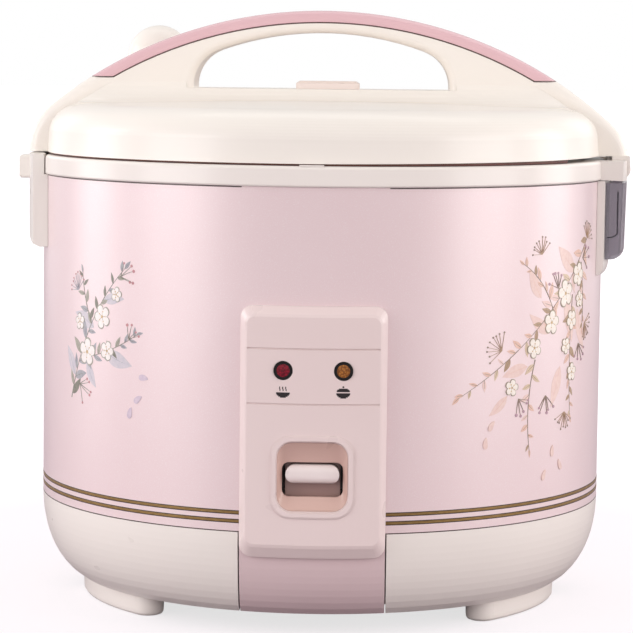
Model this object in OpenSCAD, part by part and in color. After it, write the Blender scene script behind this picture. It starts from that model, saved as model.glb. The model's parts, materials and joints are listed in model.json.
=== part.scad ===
// Jar-type rice cooker, about 1.8 litres, with a lid that opens sideways.
// Millimetres. Z is up, the front faces -Y, and the origin is on the table
// under the body's axis. The lid hinge is on the +X side, its catch on -X.

/* [Body] */
// Outer radius of the steel side wall
body_r = 150; // [148:0.5:151]
// Thickness of the steel side wall
wall_t = 0.8; // [0.6:0.1:1]
// Underside of the moulded base
base_z = 11; // [10.5:0.5:12]
// Height at which the steel wall leaves the base
base_top_z = 54.5; // [52:0.5:56]
// Height at which the steel wall meets the rim
wall_top_z = 224.8; // [224:0.2:225.4]
// Top of the rim
rim_z = 235; // [234.6:0.1:235.2]
// Wall thickness of the plastic mouldings
shell_t = 2.6; // [2.2:0.1:3]

/* [Lid] */
// Height of the lid's lower edge
lid_z = 236; // [235.8:0.1:236.4]
// Radius of the lid at its lower edge
lid_r = 148.2; // [147:0.2:149]
// Height of the flat of the lid at its shoulder
lid_top_z = 262; // [261:0.2:263]
// Height of the ridge between the handle's legs
ridge_z = 270.5; // [269:0.5:272]
// Extra gap under the lid at the hinge end
hinge_gap = 1.1; // [0.6:0.1:1.2]

/* [Handle] */
// Top of the handle
handle_z = 312; // [310:0.1:314]
// Radius of the handle's arch along its length
arch_r = 230; // [226:1:234]
// Half the handle's width, front to back
handle_w = 23; // [21:0.5:23]
// Thickness of the coloured strip on the handle
strip_t = 6; // [5:0.5:7]
// Height at which the coloured strip ends
strip_z = 276.2; // [275:0.2:278]
// Half the length of the finger opening
grip_x = 68; // [66:1:70]
// Top of the finger opening
grip_z = 300.4; // [299.6:0.1:301]

/* [Control panel] */
// Width of the panel
panel_w = 72; // [68:1:74]
// Lower edge of the panel
panel_z0 = 43; // [42.4:0.2:44]
// Upper edge of the panel
panel_z1 = 167; // [164:1:170]
// Radius of the panel's face about the body's axis
panel_r = 156; // [155:0.5:157]
// Height of the centre of the switch window
window_z = 83.7; // [83:0.1:84.4]
// Distance of each lamp from the middle
lamp_x = 14.7; // [13:0.1:17]
// Height of the lamps
lamp_z = 136; // [133:0.5:139]

/* [Inner pot] */
// Outer radius of the pot
pot_r = 117; // [115:0.5:117.5]
// Outer height of the pot's bottom
pot_z0 = 91.2; // [91.2:0.1:92]
// Top of the pot's flange
pot_z1 = 230.6; // [230:0.1:230.6]
// Wall thickness of the pot
pot_t = 1.6; // [1.2:0.1:2]

/* [Moving parts] */
// Distance of the lid hinge from the body's axis
hinge_x = 158.2; // [157.8:0.1:158.6]
// Height of the lid hinge
hinge_z = 230; // [229.6:0.1:230.4]
// Radius of the hinge, latch and switch pins
pin_r = 2; // [1.8:0.1:2.2]
// Radial clearance of a part that turns on a pin
pin_gap = 0.06; // [0.03:0.01:0.1]
// Left-right place of the steam cap
cap_x = -93; // [-95:1:-90]
// Front-back place of the steam cap
cap_y = 48; // [47:0.5:50]
// Radius of the steam cap
cap_r = 17.5; // [16.5:0.5:18]
// Top of the steam cap
cap_z = 304; // [300:1:306]

/* [Hidden] */
$fn = 96;
far = 400;                              // longer than any cut needs to be
cream = "#f6efe3";
shade = "#eadfd3";
pink = "#efced3";
rose = "#dba4ab";
panel_colour = "#e2cdc8";
steel = "#c9cbce";
alloy = "#b9bbbd";
dark = "#2b2624";

axis_z = handle_z - arch_r;             // centre of the handle's arch
end_r = 30;                             // radius of the band's turn down to the rim
end_xl = 156.6 - end_r;                 // centre of that turn, latch side
end_xr = 163.2 - end_r;                 // centre of that turn, hinge side
edge_r = 5;                             // rounding along the handle's long edges
grip_end_r = 20;                        // radius of the opening's ends
grip_mid_z = 272;                       // height of the centres of those ends
grip_off = -1;                          // place of the opening's middle
grip_r = grip_arch(grip_x, grip_z - grip_mid_z, grip_end_r);
foot_r = 119.8;                         // radius of the feet's centre line
foot_w = 8.4;                           // half the width of a foot
cover_r = 110;                          // radius of the bottom cover
sensor_r = 20;                          // radius of the thermostat's cap
plate_z = 84;                           // underside of the heater plate
lever_y = -60;                          // place of the switch lever's pin
lever_z = 48;                           // height of the switch lever's pin
latch_x = -143;                         // place of the latch hook's pin
latch_z = 200;                          // height of the latch hook's pin
latch_w = 44;                           // half the width of the latch housing
latch_r = 157.6;                        // radius of its face about the body's axis
dew_w = 38;                             // half the width of the dew collector
dew_r = 162.8;                          // radius of its face about the body's axis
bracket_r = 153.8;                      // radius of its bracket's face
ear_w = 16;                             // width of a hinge ear
inlet_z = 79;                           // centre of the mains inlet
ear_y = 24;                             // inner face of the hinge ears
ear_r = 163;                            // radius of the front ear's end about the body's axis
pin_y = -27;                            // front end of the hinge pin's blind bore

// ---------------------------------------------------------------- helpers

// Points along an elliptical arc
function arc(c, rx, ry, a0, a1, n) =
    [for (i = [0:n]) let (a = a0 + (a1 - a0) * i / n) c + [rx * cos(a), ry * sin(a)]];

// Outline of a rounded rectangle, centred
function rounded(w, h, r, n = 6) = concat(
    arc([w / 2 - r, h / 2 - r], r, r, 0, 90, n),
    arc([r - w / 2, h / 2 - r], r, r, 90, 180, n),
    arc([r - w / 2, r - h / 2], r, r, 180, 270, n),
    arc([w / 2 - r, r - h / 2], r, r, 270, 360, n));

// Radius of an arch of height h over a half span x that runs tangentially into end arcs of radius r
function grip_arch(x, h, r) = (x * x - 2 * x * r + h * h) / (2 * (h - r));

// Centre height of the arc of radius end_r that touches the handle's arch inside, at distance x
function end_z(x) = axis_z + sqrt(pow(arch_r - end_r, 2) - x * x);

// The base's outside: nearly an ellipse quarter, inset by t
function base_curve(t) = let (rx = 31, ry = 46.5, p = 2.1)
    [for (i = [0:12]) let (z = base_top_z - (base_top_z - base_z) * i / 12)
        [body_r - t - rx + rx * pow(1 - pow((base_top_z - z) / ry, p), 1 / p), z + t * i / 12]];

// The lid's outside, from the lower edge to the middle, inset by t
function lid_curve(t) = concat(
    [[lid_r - t, lid_z - 1]],
    arc([128, 246], 19.3 - t, lid_top_z - 246 - t, 0, 84, 14),
    [for (r = [110:-22:0]) [r, lid_top_z - t + 2.5 * (1 - pow(r / 128, 2))]]);

// A solid tube or ring about Z
module ring(r1, r0, z0, z1) {
    rotate_extrude() translate([r0, z0]) square([r1 - r0, z1 - z0]);
}

// A profile of X and Z, carried along Y from y0 to y1
module along_y(y0, y1) {
    translate([0, y1, 0]) rotate([90, 0, 0]) linear_extrude(y1 - y0) children();
}

// A profile of Y and Z, carried along X from x0 to x1
module along_x(x0, x1) {
    translate([x0, 0, 0]) rotate([90, 0, 90]) linear_extrude(x1 - x0) children();
}

// A pin or bore along Y
module rod_y(x, z, r, y0, y1) {
    translate([x, y1, z]) rotate([90, 0, 0]) cylinder(r = r, h = y1 - y0);
}

// A block given by its two corners
module block(a, b) {
    translate(a) cube(b - a);
}

// A wire coil about Z, as rings of points joined into one skin
module coil(r, wire, turns, height, sides = 6, steps = 14) {
    n = round(turns * steps);
    points = [for (i = [0:n], j = [0:sides - 1])
        let (a = 360 * i / steps, b = 360 * j / sides, q = r + wire * cos(b))
        [q * cos(a), q * sin(a), height * i / n + wire * sin(b)]];
    skin = [for (i = [0:n - 1], j = [0:sides - 1]) let (k = (j + 1) % sides)
        [i * sides + j, (i + 1) * sides + j, (i + 1) * sides + k, i * sides + k]];
    ends = [[for (j = [0:sides - 1]) j], [for (j = [sides - 1:-1:0]) n * sides + j]];
    polyhedron(points, concat(skin, ends), convexity = 8);
}

// ---------------------------------------------------------------- base

module base_shell() color(cream) difference() {
    union() {
        rotate_extrude() polygon(concat(
            [[body_r - 1, base_top_z], [body_r - 1, base_top_z + 5.5],
             [body_r - 3.4, base_top_z + 5.5]],
            base_curve(shell_t),
            [[cover_r - 10, base_z + 4.5], [cover_r - 10, base_z + 2],
             [cover_r + 0.3, base_z + 2], [cover_r + 0.3, base_z]],
            [for (i = [12:-1:0]) base_curve(0)[i]]));
        screw_places() cylinder(r = 4.5, h = 18);
    }
    screw_places() translate([0, 0, -4]) cylinder(r = 1.55, h = 26);
    block([-panel_w / 2 - 0.6, -far, -1], [panel_w / 2 + 0.6, 6 - cover_r, 70]);
}

// Where the bottom cover's screws go, at the inside of the base's floor
module screw_places() {
    for (a = [60, 120, 240, 300]) rotate(a) translate([cover_r - 5, 0, base_z + 2]) children();
}

module bottom_cover() color(shade) difference() {
    translate([0, 0, base_z]) cylinder(r = cover_r, h = 2);
    screw_places() translate([0, 0, -3]) cylinder(r = 1.7, h = 6);
    for (row = [0:1], i = [0:23])
        rotate(i * 15 + row * 7.5) translate([42 + row * 30, -1.5, base_z - 1]) cube([22, 3, 4]);
}

module base_screws() color(steel) screw_places() {
    translate([0, 0, -3.4]) difference() {
        cylinder(r1 = 2.6, r2 = 3.2, h = 1.4);
        translate([-2, -0.35, -0.1]) cube([4, 0.7, 0.8]);
        translate([-0.35, -2, -0.1]) cube([0.7, 4, 0.8]);
    }
    translate([0, 0, -2]) cylinder(r = 1.5, h = 16);
}

// One side of a foot's section of half width w, from the sole up to the base
function foot_side(w) = [[w - 2.4, 0], [w - 1.1, 0.5], [w - 0.4, 1.5], [w - 0.2, 3], [w, base_z]];

// A foot follows the base's edge and has round ends; a is the middle of its arc
module foot(a) color(cream) {
    half_arc = 17;
    side = foot_side(foot_w);
    end_w = foot_w - 0.05;
    rotate([0, 0, a - half_arc]) rotate_extrude(angle = 2 * half_arc)
        translate([foot_r, 0])
            polygon(concat(side, [for (i = [len(side) - 1:-1:0]) [-side[i].x, side[i].y]]));
    for (s = [-1, 1]) rotate(a + s * half_arc) translate([foot_r, 0, 0]) rotate(s * 90)
        rotate_extrude() polygon(concat([[0, 0]], foot_side(end_w), [[0, base_z]]));
}

// ---------------------------------------------------------------- body

module body_wall() color(pink) difference() {
    ring(body_r, body_r - wall_t, base_top_z + 0.2, wall_top_z);
    block([-panel_w / 2 + 3, -far, 0], [panel_w / 2 - 3, 0, panel_z1 - 4]);
    block([-17.5, 0, inlet_z - 12.5], [17.5, far, inlet_z + 12.5]);
    block([-far, -13, 190], [-100, 13, wall_top_z + 1]);
}

module rim_ring() color(cream) difference() {
    union() {
        rotate_extrude() polygon([
            [body_r, wall_top_z], [body_r + 1.2, wall_top_z + 0.3], [body_r + 1.6, wall_top_z + 1],
            [body_r + 1.6, rim_z - 1.4], [body_r + 1.1, rim_z - 0.4], [body_r, rim_z],
            [141, rim_z], [139.5, rim_z - 1.2], [127, rim_z - 3], [126, 229.2], [122.4, 229.2],
            [122.4, 225.6], [124.4, 225.6], [124.8, 227], [127.6, 227], [128.4, rim_z - 5.2],
            [139.8, rim_z - 3.6], [147, rim_z - 2.6], [147, wall_top_z]]);
        hinge_ear(1);
        intersection() {
            hinge_ear(-1);
            cylinder(r = ear_r, h = far, $fn = 240);
        }
        // Lug that the closed lid comes to rest on
        intersection() {
            ring(body_r + 1, 146, rim_z - 0.2, rim_z + 0.6);
            block([-8, -far, 0], [4, 0, far]);
        }
    }
    // Notch round the latch housing, and the slot for the catch
    block([-far, -latch_w - 1.6, wall_top_z - 1], [-144.2, latch_w + 1.6, far]);
    block([-150, -9, wall_top_z - 1], [-132, 9, far]);
    // Room for the hinge arm between the ears, over the dew collector
    block([150.4, -ear_y, 0], [far, ear_y, far]);
    rod_y(hinge_x, hinge_z, pin_r, pin_y, far);
}

// One of the two ears that carry the hinge pin
module hinge_ear(s) {
    x = hinge_x + 5;
    y = s > 0 ? [ear_y, ear_y + ear_w] : [-ear_y - ear_w, -ear_y];
    along_y(y[0], y[1]) polygon(concat(
        [[146, wall_top_z + 0.1], [151.5, wall_top_z + 0.1]],
        arc([x - 2, wall_top_z + 1.6], 2, 2, 270, 360, 4),
        [[x, rim_z - 1.5], [x - 0.6, rim_z - 0.3], [x - 2, rim_z], [146, rim_z]]));
}

module hinge_pin() color(steel)
    rod_y(hinge_x, hinge_z, pin_r, pin_y, ear_y + ear_w - 0.5);

// Torsion spring round the hinge pin, between the arm's two knuckles
module lid_spring() color(steel) {
    translate([hinge_x, 9, hinge_z]) rotate([90, 0, 0]) coil(3.6, 0.6, 7, 18, 6, 12);
}

// ---------------------------------------------------------------- front

// A slab of the panel's outline, up to radius r, inset at the sides, top and bottom
module panel_slab(r, side, top, bottom, corner) {
    w = panel_w - 2 * side;
    h = panel_z1 - top - panel_z0 - bottom;
    intersection() {
        translate([0, 0, panel_z0 + bottom]) cylinder(r = r, h = h, $fn = 240);
        along_y(-far, -body_r + 12) translate([0, panel_z0 + bottom + h / 2])
            polygon(rounded(w, h, corner));
    }
}

module front_panel() color(panel_colour) difference() {
    union() {
        hull() {
            panel_slab(panel_r - 4.2, 0, 0, 0, 6);
            panel_slab(panel_r - 0.6, 2.4, 3.6, 5.4, 4.6);
            panel_slab(panel_r, 3.4, 5, 7, 3.6);
        }
        window_bead(41.4, 40.8, 10, 0.5);
        window_bead(40, 39.4, 9.3, 0.9);
    }
    cylinder(r = body_r + 0.05, h = far, $fn = 360);
    for (z = [146.5, 119.4]) intersection() {
        ring(panel_r + 1, panel_r - 0.6, z - 0.35, z + 0.35);
        block([-panel_w / 2 + 3.6, -far, 0], [panel_w / 2 - 3.6, 0, far]);
    }
    for (s = [-1, 1]) lamp_place(s) cylinder(r = 4.7, h = far);
    // The window slopes in to the slot that the lever comes through
    hull() {
        along_y(-panel_r - 4, -panel_r - 0.9) window_outline(36.4, 35.8, 8);
        along_y(-panel_r + 1.4, -panel_r + 1.5) window_outline(34.4, 33.6, 7.4);
        translate([0, 0, -1.5]) along_y(-body_r + 1.4, -body_r + 1.5)
            window_outline(29.8, 16.6, 3);
    }
}

// An outline round the switch window's centre
module window_outline(w, h, r) {
    translate([0, window_z]) polygon(rounded(w, h, r));
}

// The raised edge round the switch window
module window_bead(w, h, r, proud) {
    intersection() {
        ring(panel_r + proud, panel_r - 3, 0, 200);
        along_y(-far, 0) window_outline(w, h, r);
    }
}

// Where a lamp sits, with Z along its axis, outwards from the body's axis
module lamp_place(s) {
    translate([s * lamp_x, 0, lamp_z]) rotate([90, 0, 0]) children();
}

module lamp_bezels() color(dark) for (s = [-1, 1]) lamp_place(s) difference() {
    translate([0, 0, body_r + 0.6]) cylinder(r = 4.7, h = panel_r - body_r - 1.2);
    cylinder(r = 3.2, h = far);
}

// A lens with a slightly domed face
module lamp(s) {
    lamp_place(s) intersection() {
        translate([0, 0, body_r - 4]) cylinder(r = 3.2, h = panel_r - body_r + 4.2);
        translate([0, 0, panel_r - 12.2]) sphere(r = 12);
    }
}

module cook_lamp() color("#8f1d33") lamp(-1);

module warm_lamp() color("#b9772c") lamp(1);

// The lower front piece closes the base under the panel and a little way up behind it
module front_insert() color("#d8c0c0") intersection() {
    rotate_extrude() polygon(concat(base_curve(shell_t),
        [[cover_r + 0.5, base_z + shell_t], [cover_r + 0.5, base_z]],
        [for (i = [12:-1:0]) base_curve(0)[i]]));
    block([-panel_w / 2, -far, base_z], [panel_w / 2, 6 - cover_r, panel_z0 + 7]);
}

// ---------------------------------------------------------------- heating

module inner_case() color(steel) {
    ring(122.2, 121.4, 73, 225.4);
    ring(121.4, 76, 73, 73.8);
}

module keep_warm_heater() color("#9c8f84") ring(123.6, 122.2, 140, 170);

module heater_plate() color(alloy) difference() {
    union() {
        rotate_extrude() polygon([
            [25, plate_z], [66, plate_z], [68, plate_z - 4], [80, plate_z - 4], [82, plate_z],
            [92, plate_z + 1], [94, plate_z + 3], [94, pot_z0 - 1], [93, pot_z0], [25, pot_z0]]);
        for (a = [30:120:270]) rotate(a) translate([87, 0, 73.8]) cylinder(r = 4, h = 12);
    }
    rotate_extrude() translate([74, plate_z - 2]) circle(r = 3.4);
}

module heater_element() color("#8d8f92") {
    rotate([0, 0, 98]) rotate_extrude(angle = 344) translate([74, plate_z - 2]) circle(r = 3.4);
    for (a = [99.6, 80.4]) rotate(a) translate([74, 0, 62]) cylinder(r = 2, h = plate_z - 64);
}

module inner_pot() color("#c4c6c9") {
    corner = 20;
    inner = corner - pot_t;
    rotate_extrude() polygon(concat(
        [[0, pot_z0]],
        arc([pot_r - corner, pot_z0 + corner], corner, corner, -90, 0, 8),
        [[pot_r, pot_z1 - 1.2], [pot_r + 6.4, pot_z1 - 1.2], [pot_r + 7, pot_z1 - 0.6],
         [pot_r + 6.4, pot_z1], [pot_r - pot_t + 0.8, pot_z1], [pot_r - pot_t, pot_z1 - 0.8]],
        arc([pot_r - corner, pot_z0 + corner], inner, inner, 0, -90, 8),
        [[0, pot_z0 + pot_t]]));
}

module sensor_tube() color(steel) {
    ring(17.5, 15.6, 56, plate_z);
    difference() {
        ring(34, 17.5, plate_z - 1.2, plate_z);
        for (a = [0, 180]) rotate(a) translate([28, 0, 0]) cylinder(r = 2, h = far);
    }
}

module sensor_spring() color(steel) translate([0, 0, plate_z + 0.75]) coil(17.6, 0.7, 2, 2.8);

module sensor_cap() color(alloy) {
    rotate_extrude() polygon([
        [0, 71], [14.2, 71], [15, 72], [15, 88.4], [sensor_r - 0.6, 88.4], [sensor_r, 89],
        [sensor_r, 90.2], [sensor_r - 0.8, 90.8], [0, 90.8]]);
}

module magnet_rod() color("#55585c") {
    rotate_extrude() polygon([
        [0, 50.4], [2.6, 50.4], [3, 51], [3, 60], [12.4, 60], [13, 60.6], [13, 66], [12.4, 66.6],
        [0, 66.6]]);
}

// ---------------------------------------------------------------- cooking switch

module switch_bracket() color(steel) difference() {
    union() {
        for (s = [-1, 1]) translate([s * 7, 0, 0])
            along_x(-0.8, 0.8) polygon([
                [lever_y - 3.4, lever_z - 5.4], [lever_y + 3.4, lever_z - 5.4],
                [lever_y + 6, lever_z - 2.8], [lever_y + 6, plate_z - 0.01],
                [lever_y - 4, plate_z - 0.01], [lever_y - 4, lever_z - 2.8]]);
        block([-13, lever_y - 3.9, plate_z - 1.6], [13, lever_y + 5.9, plate_z - 0.01]);
    }
    translate([-20, lever_y, lever_z]) rotate([0, 90, 0]) cylinder(r = pin_r, h = 40);
}

module switch_pin() color(steel)
    translate([-9, lever_y, lever_z]) rotate([0, 90, 0]) cylinder(r = pin_r, h = 18);

module microswitch() color(dark) {
    block([7.9, -65, 60], [14.3, -47, 71]);
    block([10.2, -52, 57.6], [12, -50, 60]);
    for (y = [-63, -56]) block([10.6, y, 71], [11.6, y + 3, 78]);
}

// Black frame behind the slot, which the lever's upright plate slides down in
module switch_guide() color(dark) {
    top = 94;
    for (s = [-1, 1]) block([s * 15.1 - 0.9, -147.6, 57], [s * 15.1 + 0.9, -140.6, top]);
    block([-16, -147.6, top - 1.4], [16, -140.6, top]);
    // Flange against the back of the panel
    difference() {
        block([-17, -149, 55], [17, -147.6, top + 3]);
        block([-14.2, -150, 50], [14.2, -147, top - 1.4]);
    }
}

module switch_lever() color("#d9c6c6") {
    paddle_z = 84.7;
    paddle_h = 9.4;
    nose = -153.4;
    difference() {
        union() {
            along_x(-4.6, 4.6) polygon([
                [8, 45.4], [12, 48], [8, 50], [-118, 50], [-128, 56], [-128, 66], [-133, 66],
                [-133, 52], [-120, 45.4]]);
            translate([-4.6, lever_y, lever_z]) rotate([0, 90, 0]) cylinder(r = 4.6, h = 9.2);
        }
        translate([-20, lever_y, lever_z]) rotate([0, 90, 0])
            cylinder(r = pin_r + pin_gap, h = 40);
    }
    // Upright plate that closes the slot behind the paddle
    block([-13.6, -144.6, 65], [13.6, -142.8, 92]);
    block([-13.6, -144.6, 64], [13.6, -128, 66.5]);
    // Paddle with round ends and a rounded nose
    intersection() {
        along_y(nose, -144.6) translate([0, paddle_z]) polygon(rounded(26.4, paddle_h, 4.6, 8));
        along_x(-14, 14) translate([0, paddle_z]) polygon(concat(
            [[-144.6, paddle_h / 2]],
            arc([nose + 3.8, paddle_h / 2 - 3.8], 3.8, 3.8, 90, 180, 6),
            arc([nose + 3.8, 3.8 - paddle_h / 2], 3.8, 3.8, 180, 270, 6),
            [[-144.6, -paddle_h / 2]]));
    }
}

// ---------------------------------------------------------------- mains inlet

module inlet_socket() color(shade) difference() {
    union() {
        along_y(130, body_r + 6.9) translate([0, inlet_z]) polygon(rounded(34, 24, 3));
        along_y(144, body_r + 6.9) translate([0, inlet_z]) polygon(rounded(46, 36, 6));
    }
    difference() {
        cylinder(r = body_r + 0.02, h = far);
        along_y(120, far) translate([0, inlet_z]) polygon(rounded(34.2, 24.2, 3));
    }
    along_y(134, far) translate([0, inlet_z]) polygon(rounded(29, 19, 4));
}

module inlet_pins() color(steel) for (s = [-1, 1]) translate([s * 6.35, 0, inlet_z])
    rotate([-90, 0, 0]) {
        translate([0, 0, 134]) cylinder(r = 2, h = 13);
        translate([0, 0, 147]) cylinder(r1 = 2, r2 = 1.2, h = 1.4);
    }

// ---------------------------------------------------------------- latch

// Side view of the latch housing, inset by t
function latch_side(t) = let (top = rim_z + 0.4 - t) [
    [-140, top], [-155.4 + t, top], [-156 + t, top - 0.6], [-156 + t, 193.2 + t / 2],
    [-155.2 + t, 191.2 + t / 2], [-153.2 + t / 2, 189.2 + t], [-148, 186.6 + t], [-140, 186.6 + t]];

// The two ears inside the latch housing that carry the hook's pin
module latch_ears() {
    for (s = [-1, 1]) block([-155, s * 10 - 1, 194], [-139, s * 10 + 1, 206]);
}

module latch_cover() color(cream) difference() {
    union() {
        intersection() {
            along_y(-latch_w, latch_w) polygon(latch_side(0));
            linear_extrude(far) translate([-140, 0]) polygon(rounded(32, 2 * latch_w, 4));
            cylinder(r = latch_r, h = far, $fn = 240);
        }
        latch_ears();
    }
    difference() {
        intersection() {
            along_y(-latch_w + 2, latch_w - 2) polygon(latch_side(2));
            cylinder(r = latch_r - 2, h = far, $fn = 240);
        }
        latch_ears();
    }
    difference() {
        cylinder(r = body_r + 0.03, h = far, $fn = 360);
        latch_ears();
    }
    // Shadow gap between the housing and the cut ends of the rim
    block([-145.4, -far, wall_top_z], [-130, far, far]);
    rod_y(latch_x, latch_z, pin_r, -20, 20);
    along_x(-170, -150) translate([0, 227.3]) polygon(rounded(20.8, 13.2, 2));
    block([-151.2, -9, 220], [-130, 9, far]);
}

module latch_pin() color(steel) rod_y(latch_x, latch_z, pin_r, -11, 11);

module latch_spring() color(steel)
    translate([latch_x, 8.4, latch_z]) rotate([90, 0, 0]) coil(3.6, 0.45, 3, 2.7);

module latch_hook() color("#d8d2c8") difference() {
    union() {
        along_y(-5, 5) polygon([
            [-146, 192], [-146.4, 200], [-145.6, 206], [-145.6, 226], [-147, 227],
            [-147, 228.6], [-144.6, 231.4], [-142.4, 231.4], [-141.6, 230], [-141.6, 192]]);
        rod_y(latch_x, latch_z, 4.4, -5, 5);
    }
    rod_y(latch_x, latch_z, pin_r + pin_gap, -20, 20);
}

module latch_button() color(cream) {
    along_x(-162.4, -154) translate([0, 227.3]) polygon(rounded(20, 12.4, 1.8));
    along_x(-163.2, -162.4) translate([0, 227.3]) polygon(rounded(18.8, 11.2, 1.4));
    // Flange that keeps the button in the housing on both sides of the lid's catch,
    // and the stem that pushes the hook
    block([-153.7, -12, 219.5], [-152.2, 12, 223.6]);
    for (s = [-1, 1]) block([-153.7, s * 10 - 2, 219.5], [-152.2, s * 10 + 2, 231.6]);
    block([-154.1, -9, 221.5], [-153.6, 9, 232]);
    block([-152.2, -4.4, 216.4], [-145.9, 4.4, 222]);
}

// The lid's half of the latch: a tongue with a window for the hook's nose
module lid_catch() color("#d8d2c8") difference() {
    block([-150.2, -7, 224.6], [-147.4, 7, lid_z]);
    block([-151, -5.6, 226.2], [-147, 5.6, 232]);
}

// ---------------------------------------------------------------- dew collector

// What lies within y of the middle plane, on the hinge side
module hinge_side(y) {
    intersection() {
        rotate_extrude($fn = 240) children();
        block([100, -y, 0], [far, y, far]);
    }
}

module dew_bracket() color(cream)
    hinge_side(ear_y + ear_w) polygon(concat(
        [[body_r + 0.03, wall_top_z - 0.2], [body_r + 0.03, 175]],
        arc([bracket_r - 3, 182], 3, 7, 270, 360, 6),
        [[bracket_r, wall_top_z - 0.2]]));

module dew_collector() color("#77737f", 0.8) {
    wall = 1.4;
    top = 223.6;
    back = bracket_r + 0.4;
    difference() {
        hinge_side(dew_w) polygon(concat([[back, top], [back, 183.4]],
            arc([dew_r - 5.4, 188.6], 4.6, 5.2, 270, 355, 6), [[dew_r, top]]));
        hinge_side(dew_w - wall) polygon(concat([[back + wall, top + 1], [back + wall, 185]],
            arc([dew_r - 5.6, 189], 3.4, 4, 270, 355, 6), [[dew_r - wall, top + 1]]));
    }
    // Stops inside both ends
    for (s = [-1, 1]) {
        block([154.7, s * (dew_w - 1.7) - 0.5, 198], [155.4, s * (dew_w - 1.7) + 0.5, 221]);
        block([151, s * (dew_w - 1.7) - 0.5, 197.4], [156, s * (dew_w - 1.7) + 0.5, 198.2]);
    }
}

// ---------------------------------------------------------------- lid shell and handle

// Section of the handle band from its centre of curvature out to radius r, with rounded edges
module band_section(r, w, edge) {
    polygon(concat([[0, -w], [r - edge, -w]], arc([r - edge, edge - w], edge, edge, -75, 0, 5),
        arc([r - edge, w - edge], edge, edge, 0, 75, 5), [[r - edge, w], [0, w]]));
}

// A solid of revolution about an axis along Y through (x, z), from angle a0 to a1 up from +X
module turned(x, z, a0 = 0, a1 = 360) {
    translate([x, 0, z]) rotate([90, 0, 0]) rotate([0, 0, a0])
        rotate_extrude(angle = a1 - a0, $fn = 180) children();
}

// The room that the band may fill at one end: a round turn down to the rim, and
// everything on the inner side of the plane in which the handle's arch touches that turn
module band_end(x, side) {
    z = end_z(x);
    a = atan2(x, z - axis_z);
    turned(side * x, z) band_section(end_r - 0.1, handle_w, edge_r);
    translate([side * x, 0, z]) rotate([0, side * a, 0])
        block([side > 0 ? -far : 0, -40, -far], [side > 0 ? 0 : far, 40, far]);
}

// The band that runs over the lid from rim to rim and rises to the handle's arch
module band() intersection() {
    turned(0, axis_z) band_section(arch_r, handle_w, edge_r);
    band_end(end_xl, -1);
    band_end(end_xr, 1);
    block([-far, -far, lid_z], [far, far, far]);
}

// What is cut away for the fingers: an arch on two round ends, flared at the front and back
module grip_cut() {
    end_x = grip_x - grip_end_r;
    centre_z = grip_z - grip_r;
    a = atan2(end_x, grip_mid_z - centre_z);
    intersection() {
        union() {
            turned(0, centre_z, 90 - a, 90 + a) grip_section(grip_r, 60);
            for (s = [-1, 1]) turned(s * end_x, grip_mid_z) grip_section(grip_end_r - 0.1, 0);
        }
        block([-far, -far, ridge_z], [far, far, far]);
    }
}

// The cutter's section: straight across the handle and flared where it comes out
module grip_section(r, from) {
    flare = 4;
    w = handle_w;
    polygon(concat([[from, -50], [r + flare, -50]],
        arc([r + flare, flare - w], flare, flare, 265, 180, 6),
        arc([r + flare, w - flare], flare, flare, 180, 95, 6),
        [[r + flare, 50], [from, 50]]));
}

// Soft foot on both sides of the band where it meets the flat of the lid
module band_foot() {
    r = 14;
    z = lid_top_z + 0.5;
    intersection() {
        along_x(-136, 136) polygon(concat(
            arc([handle_w + r - 0.3, z + r], r, r, 180, 270, 8),
            [[40, 250], [-40, 250]],
            arc([-handle_w - r + 0.3, z + r], r, r, 270, 360, 8)));
        rod_y(0, axis_z, arch_r - 8.2, -60, 60);
    }
}

module lid_shell() color(cream) difference() {
    union() {
        rotate_extrude() polygon(concat([[0, lid_z - 1]], lid_curve(0)));
        band();
        band_foot();
    }
    translate([grip_off, 0, 0]) grip_cut();
    // Seat of the coloured strip, with a shadow gap along its edges
    intersection() {
        turned(0, axis_z, 30, 150) translate([arch_r - strip_t, -40]) square([40, 80]);
        block([-far, -far, strip_z - 0.3], [far, far, far]);
    }
    for (s = [-1, 1]) intersection() {
        turned(0, axis_z, 30, 150)
            translate([arch_r - strip_t - 0.7, s * 31 - 10]) square([40, 20]);
        block([-far, -far, strip_z - 0.7], [far, far, far]);
    }
    // Hollow inside, down to the lining
    rotate_extrude() polygon(concat([[0, lid_z - 2]], lid_curve(shell_t)));
    // The lower edge rises a little towards the hinge
    block([-far, -far, lid_z - 9], [far, far, lid_z]);
    translate([0, 0, lid_z]) rotate([0, -atan2(hinge_gap, hinge_x), 0])
        block([0, -far, -9], [far, far, 0]);
    // Seat of the steam pipe
    translate([cap_x, cap_y, 0]) {
        translate([0, 0, 230]) cylinder(r = 14, h = 60);
        translate([0, 0, lid_top_z + 1]) cylinder(r = cap_r + 0.4, h = 60);
    }
}

module handle_cover() color(rose) intersection() {
    turned(0, axis_z, 30, 150) difference() {
        band_section(arch_r, handle_w, edge_r);
        translate([-1, -60]) square([arch_r - strip_t + 1, 120]);
    }
    block([-far, -far, strip_z], [far, far, far]);
}

// Cap over the screw at the middle of the lid
module centre_cap() color(cream) translate([2, 0, ridge_z]) hull() {
    linear_extrude(3) polygon(rounded(34, 20, 3));
    linear_extrude(4.2) polygon(rounded(30.5, 16.5, 2.4));
}

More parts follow.
